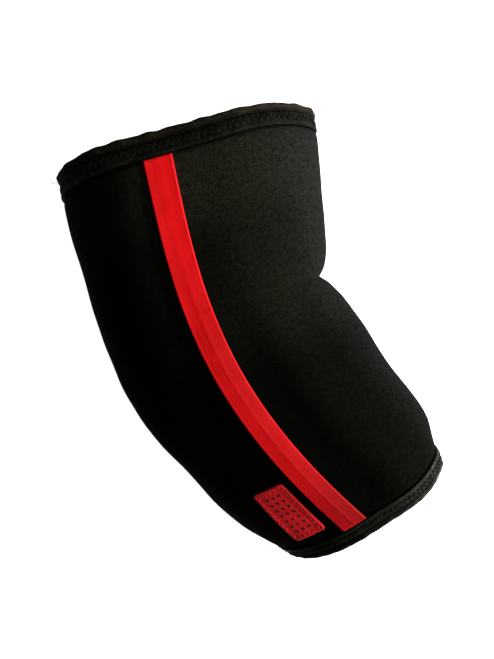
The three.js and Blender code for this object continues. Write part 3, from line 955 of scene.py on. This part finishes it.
def red_tape():
    """Smooth red woven tape with a soft sheen."""
    made, shader, cloth = new_material("red_tape")
    ribs = effect("twill_face", cloth, spacing=0.42, slant=0.0)
    worn = effect("worn_patches", cloth, size=11.0, grain=0.5)
    across_mm, along_mm, _ = axes_of(cloth)
    lengthwise = calc("SINE", calc("MULTIPLY_ADD", across_mm, 2.3, 0.5))
    ground = blend(worn, (0.45, 0.0025, 0.0035), (0.54, 0.0035, 0.0045))
    lined = blend(ramp(lengthwise, (0.3, 1.0), (0.0, 0.3)), ground, (0.3, 0.002, 0.003))
    woven = blend(ramp(ribs, ends=(0.0, 0.2)), lined, (0.58, 0.006, 0.008))
    # Painted light and shade: the crook half of the tape is painted lighter near the top and darker
    # further down, changing from 42 to 105 mm along.
    crook_half_painted_shading = blend(sloped(along_mm, (42, 105)), (0.62, 0.004, 0.006), (0.29, 0.002, 0.003))
    halves = blend(sloped(across_mm, (-1.5, 1), (0.0, 0.7)), woven, crook_half_painted_shading)
    # Painted highlight: a lighter line along the elbow-side edge of the tape, from about 60 mm along
    # onward.
    elbow_edge_painted_highlight = times(sloped(across_mm, (-5.4, -4.4), (0.8, 0.0)), sloped(along_mm, (60, 100)))
    edged = blend(elbow_edge_painted_highlight, halves, (0.75, 0.006, 0.008))
    # Painted shade: the tape is painted darker toward its lower end.
    colour = blend(sloped(along_mm, (150, 197), (0.0, 0.8)), edged, (0.16, 0.0012, 0.002))
    plug(shader, {"Base Color": colour, "Roughness": ramp(worn, ends=(0.55, 0.45)),
                  "Specular IOR Level": 0.06, "Sheen Weight": 0.02, "Sheen Roughness": 0.4,
                  "Sheen Tint": (1.0, 0.55, 0.6, 1)})
    raise_by(shader, calc("MULTIPLY_ADD", worn, 0.5, ribs), 0.07, 0.6)
    return made


def red_patch():
    """Red woven patch with darker raised dots."""
    made, shader, cloth = new_material("red_patch")
    ribs = effect("twill_face", cloth, spacing=0.5, slant=1.0)
    worn = effect("worn_patches", cloth, size=6.0, grain=0.8)
    parts = axes_of(cloth)
    offs = [calc("POWER", calc("WRAP", parts[k], DOT_SPACING / 2, -DOT_SPACING / 2), 2.0) for k in (0, 1)]
    dot = ramp(calc("SQRT", plus(*offs)), (DOT_RADIUS, DOT_RADIUS * 0.75))
    inside = [calc("LESS_THAN", calc("ABSOLUTE", part), half)
              for part, half in zip(parts, (DOTS_HALF_WIDE, DOTS_HALF_LONG))]
    dots = times(dot, times(*inside))
    ground = blend(worn, (0.42, 0.004, 0.006), (0.56, 0.007, 0.011))
    plug(shader, {"Base Color": blend(dots, ground, (0.012, 0.002, 0.002)), "Roughness": 0.6,
                  "Specular IOR Level": 0.12, "Sheen Weight": 0.04})
    raise_by(shader, calc("MULTIPLY_ADD", worn, 0.4, ribs), 0.09, 0.7)
    return made


def sewing_thread(name, colour, pale):
    """Twisted thread: colour in its grooves and pale on its strands."""
    made, shader, cloth = new_material(name)
    round_it, along_it, _ = axes_of(cloth)
    twist = calc("MULTIPLY_ADD", along_it, 2.2, times(round_it, 2.0))
    strand = calc("MULTIPLY_ADD", wave(twist), 0.5, 0.5)
    plug(shader, {"Base Color": blend(strand, colour, pale), "Roughness": 0.65,
                  "Specular IOR Level": 0.03})
    raise_by(shader, strand, 0.05)
    return made


# The set

VIEW_TURN = math.radians(-12)
EYE_FROM_SEAM = np.array([22.64, -93.55])
EYE_HIGH = 290
CAMERA_LENS = 28.41
PICTURE_RIGHT = Vector((math.cos(VIEW_TURN), math.sin(VIEW_TURN), 0))
PICTURE_UP = Vector((-math.sin(VIEW_TURN), math.cos(VIEW_TURN), 0))
FLOOR_HALF, FLOOR_DROP = 3.0, 0.0002


def camera():
    """The camera looks straight down from close above the sleeve."""
    data = bpy.data.cameras.new("camera")
    data.sensor_fit = "VERTICAL"
    data.sensor_height = 36
    data.lens = CAMERA_LENS
    data.clip_start = 0.005
    made = add("camera", data)
    made.location = (*((SHIFT[:2] + EYE_FROM_SEAM) * MM), EYE_HIGH * MM)
    made.rotation_euler = (0, 0, VIEW_TURN)
    SCENE.camera = made


def light(name, right, up, high, size, power):
    """An area light, placed by the picture's right and up, that faces the sleeve."""
    data = bpy.data.lights.new(name, "AREA")
    data.shape = "DISK"
    data.size, data.energy = size, power
    made = add(name, data)
    made.location = PICTURE_RIGHT * right + PICTURE_UP * up + Vector((0, 0, high))
    made.rotation_euler = (Vector((0, 0, 0.03)) - made.location).to_track_quat("-Z", "Y").to_euler()


def floor():
    """A white table that glows, a hair under the sleeve."""
    corners = [(x * FLOOR_HALF, y * FLOOR_HALF, 0) for x, y in ((-1, -1), (1, -1), (1, 1), (-1, 1))]
    mesh = bpy.data.meshes.new("floor")
    mesh.from_pydata(corners, [], [(0, 1, 2, 3)])
    made_of = bpy.data.materials.new("pale_floor")
    made_of.use_nodes = True
    plug(made_of.node_tree.nodes["Principled BSDF"],
         {"Base Color": (0.6, 0.6, 0.6, 1), "Roughness": 0.9, "Specular IOR Level": 0.1,
          "Emission Color": (1, 1, 1, 1), "Emission Strength": 1.0})
    mesh.materials.append(made_of)
    made = add("floor", mesh)
    made.location.z = -FLOOR_DROP


def studio():
    """One low lamp at the picture's right over the glowing table, with a weaker one above it."""
    world = bpy.data.worlds.new("studio")
    world.use_nodes = True
    plug(world.node_tree.nodes["Background"], {"Color": (1, 1, 1, 1), "Strength": 0.03})
    SCENE.world = world
    light("key", 0.48, 0.04, 0.22, 0.25, 9)
    light("fill", 0.45, 0.12, 0.78, 0.4, 3.6)
    SCENE.view_settings.view_transform = "Standard"
    SCENE.view_settings.look = "None"


# Putting it together

def flat_cut(side):
    """Width, length and area of a panel as it was cut."""
    girths = [whole_walk(at, side) for at in np.linspace(0, 1, 21)]
    length = SLEEVE_LENGTH * MM
    return (max(girths) * MM, length), float(np.mean(girths)) * MM * length


def fit(piece, node=None):
    """A piece rides on the part's one body and may replace a solid."""
    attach(piece, "root")
    if node:
        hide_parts(node)


def bind(name, node, tall, from_upper, period, bound, dark_thread):
    """A rim's binding and its stitches."""
    made, grid = binding(name, tall, from_upper, period, bound)
    fit(made, node)
    fit(hem_stitches(node + "_stitches", grid, tall, period, dark_thread))
    return grid


def main():
    camera()
    jersey, tape, patch_cloth = neoprene_jersey(), red_tape(), red_patch()
    dark_thread = sewing_thread("black_thread", (0.0013, 0.0014, 0.0009), (0.006, 0.0062, 0.004))
    red_thread = sewing_thread("red_thread", (0.35, 0.004, 0.008), (0.75, 0.03, 0.04))
    panels = ["elbow_panel_cloth", "crook_panel_cloth"]
    for name, side, node in zip(panels, (ELBOW, CROOK), ("elbow_panel", "crook_panel")):
        made_panel = panel(name, side, jersey)
        fit(made_panel, node)
        flat, area = flat_cut(side)
    made_stripe = stripe(tape)
    fit(made_stripe, "side_stripe")
    upper_rim = bind("upper_binding_cloth", "upper_binding", UPPER_BINDING_TALL, True, UPPER_ZIGZAG,
                     binding_cloth("upper_binding_cloth", 1.4, 0.4, 0), dark_thread)
    lint = sewing_thread("grey_lint", (0.05, 0.048, 0.04), (0.2, 0.19, 0.16))
    fit(stray_thread(upper_rim, lint))
    # The lower binding gets stronger painted light than the upper: much paler at its crook corner and
    # almost none toward the elbow.
    bind("lower_binding_cloth", "lower_binding", LOWER_BINDING_TALL, False, LOWER_ZIGZAG,
         binding_cloth("lower_binding_cloth", 4.2, 0.05, 1), dark_thread)
    made_patch = patch(patch_cloth)
    fit(made_patch, "label_patch")
    fit(patch_stitches(red_thread))
    for name, on_top in (("stripe_seam_stitches", True), ("under_seam_stitches", False)):
        fit(seam_stitches(name, on_top, dark_thread))
    floor()
    studio()


main()
